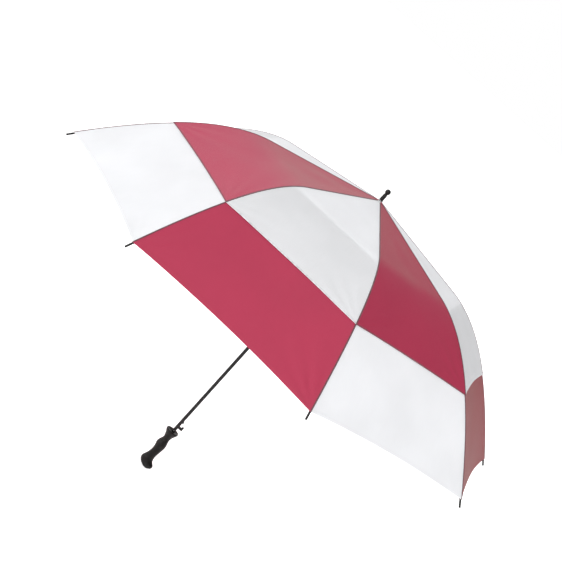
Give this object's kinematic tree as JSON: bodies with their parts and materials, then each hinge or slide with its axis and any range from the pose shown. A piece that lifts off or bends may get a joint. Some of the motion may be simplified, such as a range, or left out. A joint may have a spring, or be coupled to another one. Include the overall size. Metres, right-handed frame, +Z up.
{
  "type": "umbrella",
  "caption": "Open golf umbrella with a double wind-vented canopy in alternating red and white panels, a spring-opened runner, a trigger and a moulded grip.",
  "frame": {"origin": "on the shaft's axis, in the plane of the grip's flat end", "axes": "+Z up the shaft towards the ferrule, +X towards the trigger"},
  "size_m": [1.267, 1.267, 0.9054],
  "materials": {
    "canopy_red": "plain-weave nylon, soft sheen",
    "canopy_white": "plain-weave nylon, soft sheen",
    "strap_black": "woven tape",
    "shaft_black": "satin black enamel",
    "moulded_black": "moulded, satin",
    "grip_black": "fine moulded texture",
    "rib_steel": "blackened, satin",
    "rod_black": "pultruded glass fibre, satin",
    "spring_steel": "bright drawn wire"
  },
  "bodies": {
    "frame": {"shaft_tube": "shaft_black", "ferrule": "moulded_black", "top_notch": "moulded_black", "notch_wire": "spring_steel", "handle_grip": "grip_black", "trigger_pin": "spring_steel", "trigger_spring": "spring_steel", "opening_spring": "spring_steel"},
    "trigger": {"trigger_lever": "moulded_black"},
    "runner": {"runner": "moulded_black", "drive_pin": "spring_steel"},
    "inner_rib_1": {"rib_inner_1": "rib_steel", "upper_gore_1": "canopy_red"},
    "outer_rib_1": {"rib_outer_1": "rod_black", "rib_tip_1": "moulded_black", "lower_gore_1": "canopy_white"},
    "stretcher_arm_1": {"stretcher_1": "rib_steel"},
    "inner_rib_2": {"rib_inner_2": "rib_steel", "upper_gore_2": "canopy_white"},
    "outer_rib_2": {"rib_outer_2": "rod_black", "rib_tip_2": "moulded_black", "lower_gore_2": "canopy_red", "tie_strap": "strap_black"},
    "stretcher_arm_2": {"stretcher_2": "rib_steel"},
    "inner_rib_3": {"rib_inner_3": "rib_steel", "upper_gore_3": "canopy_red"},
    "outer_rib_3": {"rib_outer_3": "rod_black", "rib_tip_3": "moulded_black", "lower_gore_3": "canopy_white"},
    "stretcher_arm_3": {"stretcher_3": "rib_steel"},
    "inner_rib_4": {"rib_inner_4": "rib_steel", "upper_gore_4": "canopy_white"},
    "outer_rib_4": {"rib_outer_4": "rod_black", "rib_tip_4": "moulded_black", "lower_gore_4": "canopy_red"},
    "stretcher_arm_4": {"stretcher_4": "rib_steel"},
    "inner_rib_5": {"rib_inner_5": "rib_steel", "upper_gore_5": "canopy_red"},
    "outer_rib_5": {"rib_outer_5": "rod_black", "rib_tip_5": "moulded_black", "lower_gore_5": "canopy_white"},
    "stretcher_arm_5": {"stretcher_5": "rib_steel"},
    "inner_rib_6": {"rib_inner_6": "rib_steel", "upper_gore_6": "canopy_white"},
    "outer_rib_6": {"rib_outer_6": "rod_black", "rib_tip_6": "moulded_black", "lower_gore_6": "canopy_red"},
    "stretcher_arm_6": {"stretcher_6": "rib_steel"},
    "inner_rib_7": {"rib_inner_7": "rib_steel", "upper_gore_7": "canopy_red"},
    "outer_rib_7": {"rib_outer_7": "rod_black", "rib_tip_7": "moulded_black", "lower_gore_7": "canopy_white"},
    "stretcher_arm_7": {"stretcher_7": "rib_steel"},
    "inner_rib_8": {"rib_inner_8": "rib_steel", "upper_gore_8": "canopy_white"},
    "outer_rib_8": {"rib_outer_8": "rod_black", "rib_tip_8": "moulded_black", "lower_gore_8": "canopy_red"},
    "stretcher_arm_8": {"stretcher_8": "rib_steel"}
  },
  "joints": [
    {"name": "runner_slide", "type": "slide", "parent": "frame", "child": "runner", "axis": [0, 0, -1], "range_m": [0, 0.36858], "stiffness_N_per_m": 60, "springref_m": -0.25, "deforming": ["opening_spring"]},
    {"name": "trigger_press", "type": "hinge", "parent": "frame", "child": "trigger", "pos_m": [0, 0, 0.1185], "axis": [0, -1, 0], "range_deg": [0, 5.2], "stiffness_Nm_per_rad": 0.6, "springref_deg": -5.73, "deforming": ["trigger_spring"]},
    {"name": "rib_hinge_1", "type": "hinge", "parent": "frame", "child": "inner_rib_1", "pos_m": [0.00869, 0.00233, 0.86516], "axis": [-0.2588, 0.9659, 0], "range_deg": [0, 75.8], "deforming": ["upper_gore_1"]},
    {"name": "rib_flex_1", "type": "hinge", "parent": "inner_rib_1", "child": "outer_rib_1", "pos_m": [0.31076, 0.08327, 0.80175], "axis": [0.2588, -0.9659, 0], "range_deg": [0, 25.8], "deforming": ["lower_gore_1"]},
    {"name": "stretcher_hinge_1", "type": "hinge", "parent": "inner_rib_1", "child": "stretcher_arm_1", "pos_m": [0.28773, 0.0771, 0.80355], "axis": [0.2588, -0.9659, 0], "range_deg": [0, 125.2]},
    {"name": "rib_hinge_2", "type": "hinge", "parent": "frame", "child": "inner_rib_2", "pos_m": [0.0045, 0.00779, 0.86516], "axis": [-0.866, 0.5, 0], "range_deg": [0, 75.8], "deforming": ["upper_gore_2"]},
    {"name": "rib_flex_2", "type": "hinge", "parent": "inner_rib_2", "child": "outer_rib_2", "pos_m": [0.16086, 0.27862, 0.80175], "axis": [0.866, -0.5, 0], "range_deg": [0, 25.8], "deforming": ["lower_gore_2", "tie_strap"]},
    {"name": "stretcher_hinge_2", "type": "hinge", "parent": "inner_rib_2", "child": "stretcher_arm_2", "pos_m": [0.14894, 0.25797, 0.80355], "axis": [0.866, -0.5, 0], "range_deg": [0, 125.2]},
    {"name": "rib_hinge_3", "type": "hinge", "parent": "frame", "child": "inner_rib_3", "pos_m": [-0.00233, 0.00869, 0.86516], "axis": [-0.9659, -0.2588, 0], "range_deg": [0, 75.8], "deforming": ["upper_gore_3"]},
    {"name": "rib_flex_3", "type": "hinge", "parent": "inner_rib_3", "child": "outer_rib_3", "pos_m": [-0.08327, 0.31076, 0.80175], "axis": [0.9659, 0.2588, 0], "range_deg": [0, 25.8], "deforming": ["lower_gore_3"]},
    {"name": "stretcher_hinge_3", "type": "hinge", "parent": "inner_rib_3", "child": "stretcher_arm_3", "pos_m": [-0.0771, 0.28773, 0.80355], "axis": [0.9659, 0.2588, 0], "range_deg": [0, 125.2]},
    {"name": "rib_hinge_4", "type": "hinge", "parent": "frame", "child": "inner_rib_4", "pos_m": [-0.00779, 0.0045, 0.86516], "axis": [-0.5, -0.866, 0], "range_deg": [0, 75.8], "deforming": ["upper_gore_4"]},
    {"name": "rib_flex_4", "type": "hinge", "parent": "inner_rib_4", "child": "outer_rib_4", "pos_m": [-0.27862, 0.16086, 0.80175], "axis": [0.5, 0.866, 0], "range_deg": [0, 25.8], "deforming": ["lower_gore_4"]},
    {"name": "stretcher_hinge_4", "type": "hinge", "parent": "inner_rib_4", "child": "stretcher_arm_4", "pos_m": [-0.25797, 0.14894, 0.80355], "axis": [0.5, 0.866, 0], "range_deg": [0, 125.2]},
    {"name": "rib_hinge_5", "type": "hinge", "parent": "frame", "child": "inner_rib_5", "pos_m": [-0.00869, -0.00233, 0.86516], "axis": [0.2588, -0.9659, 0], "range_deg": [0, 75.8], "deforming": ["upper_gore_5"]},
    {"name": "rib_flex_5", "type": "hinge", "parent": "inner_rib_5", "child": "outer_rib_5", "pos_m": [-0.31076, -0.08327, 0.80175], "axis": [-0.2588, 0.9659, 0], "range_deg": [0, 25.8], "deforming": ["lower_gore_5"]},
    {"name": "stretcher_hinge_5", "type": "hinge", "parent": "inner_rib_5", "child": "stretcher_arm_5", "pos_m": [-0.28773, -0.0771, 0.80355], "axis": [-0.2588, 0.9659, 0], "range_deg": [0, 125.2]},
    {"name": "rib_hinge_6", "type": "hinge", "parent": "frame", "child": "inner_rib_6", "pos_m": [-0.0045, -0.00779, 0.86516], "axis": [0.866, -0.5, 0], "range_deg": [0, 75.8], "deforming": ["upper_gore_6"]},
    {"name": "rib_flex_6", "type": "hinge", "parent": "inner_rib_6", "child": "outer_rib_6", "pos_m": [-0.16086, -0.27862, 0.80175], "axis": [-0.866, 0.5, 0], "range_deg": [0, 25.8], "deforming": ["lower_gore_6"]},
    {"name": "stretcher_hinge_6", "type": "hinge", "parent": "inner_rib_6", "child": "stretcher_arm_6", "pos_m": [-0.14894, -0.25797, 0.80355], "axis": [-0.866, 0.5, 0], "range_deg": [0, 125.2]},
    {"name": "rib_hinge_7", "type": "hinge", "parent": "frame", "child": "inner_rib_7", "pos_m": [0.00233, -0.00869, 0.86516], "axis": [0.9659, 0.2588, 0], "range_deg": [0, 75.8], "deforming": ["upper_gore_7"]},
    {"name": "rib_flex_7", "type": "hinge", "parent": "inner_rib_7", "child": "outer_rib_7", "pos_m": [0.08327, -0.31076, 0.80175], "axis": [-0.9659, -0.2588, 0], "range_deg": [0, 25.8], "deforming": ["lower_gore_7"]},
    {"name": "stretcher_hinge_7", "type": "hinge", "parent": "inner_rib_7", "child": "stretcher_arm_7", "pos_m": [0.0771, -0.28773, 0.80355], "axis": [-0.9659, -0.2588, 0], "range_deg": [0, 125.2]},
    {"name": "rib_hinge_8", "type": "hinge", "parent": "frame", "child": "inner_rib_8", "pos_m": [0.00779, -0.0045, 0.86516], "axis": [0.5, 0.866, 0], "range_deg": [0, 75.8], "deforming": ["upper_gore_8"]},
    {"name": "rib_flex_8", "type": "hinge", "parent": "inner_rib_8", "child": "outer_rib_8", "pos_m": [0.27862, -0.16086, 0.80175], "axis": [-0.5, -0.866, 0], "range_deg": [0, 25.8], "deforming": ["lower_gore_8"]},
    {"name": "stretcher_hinge_8", "type": "hinge", "parent": "inner_rib_8", "child": "stretcher_arm_8", "pos_m": [0.25797, -0.14894, 0.80355], "axis": [-0.5, -0.866, 0], "range_deg": [0, 125.2]}
  ],
  "couplings": [
    {"joint": "rib_hinge_1", "follows": "runner_slide", "rad_per_m": 3.5893},
    {"joint": "rib_flex_1", "follows": "runner_slide", "rad_per_m": 1.2211},
    {"joint": "stretcher_hinge_1", "follows": "runner_slide", "rad_per_m": 5.9254},
    {"joint": "rib_hinge_2", "follows": "runner_slide", "rad_per_m": 3.5893},
    {"joint": "rib_flex_2", "follows": "runner_slide", "rad_per_m": 1.2211},
    {"joint": "stretcher_hinge_2", "follows": "runner_slide", "rad_per_m": 5.9254},
    {"joint": "rib_hinge_3", "follows": "runner_slide", "rad_per_m": 3.5893},
    {"joint": "rib_flex_3", "follows": "runner_slide", "rad_per_m": 1.2211},
    {"joint": "stretcher_hinge_3", "follows": "runner_slide", "rad_per_m": 5.9254},
    {"joint": "rib_hinge_4", "follows": "runner_slide", "rad_per_m": 3.5893},
    {"joint": "rib_flex_4", "follows": "runner_slide", "rad_per_m": 1.2211},
    {"joint": "stretcher_hinge_4", "follows": "runner_slide", "rad_per_m": 5.9254},
    {"joint": "rib_hinge_5", "follows": "runner_slide", "rad_per_m": 3.5893},
    {"joint": "rib_flex_5", "follows": "runner_slide", "rad_per_m": 1.2211},
    {"joint": "stretcher_hinge_5", "follows": "runner_slide", "rad_per_m": 5.9254},
    {"joint": "rib_hinge_6", "follows": "runner_slide", "rad_per_m": 3.5893},
    {"joint": "rib_flex_6", "follows": "runner_slide", "rad_per_m": 1.2211},
    {"joint": "stretcher_hinge_6", "follows": "runner_slide", "rad_per_m": 5.9254},
    {"joint": "rib_hinge_7", "follows": "runner_slide", "rad_per_m": 3.5893},
    {"joint": "rib_flex_7", "follows": "runner_slide", "rad_per_m": 1.2211},
    {"joint": "stretcher_hinge_7", "follows": "runner_slide", "rad_per_m": 5.9254},
    {"joint": "rib_hinge_8", "follows": "runner_slide", "rad_per_m": 3.5893},
    {"joint": "rib_flex_8", "follows": "runner_slide", "rad_per_m": 1.2211},
    {"joint": "stretcher_hinge_8", "follows": "runner_slide", "rad_per_m": 5.9254}
  ]
}
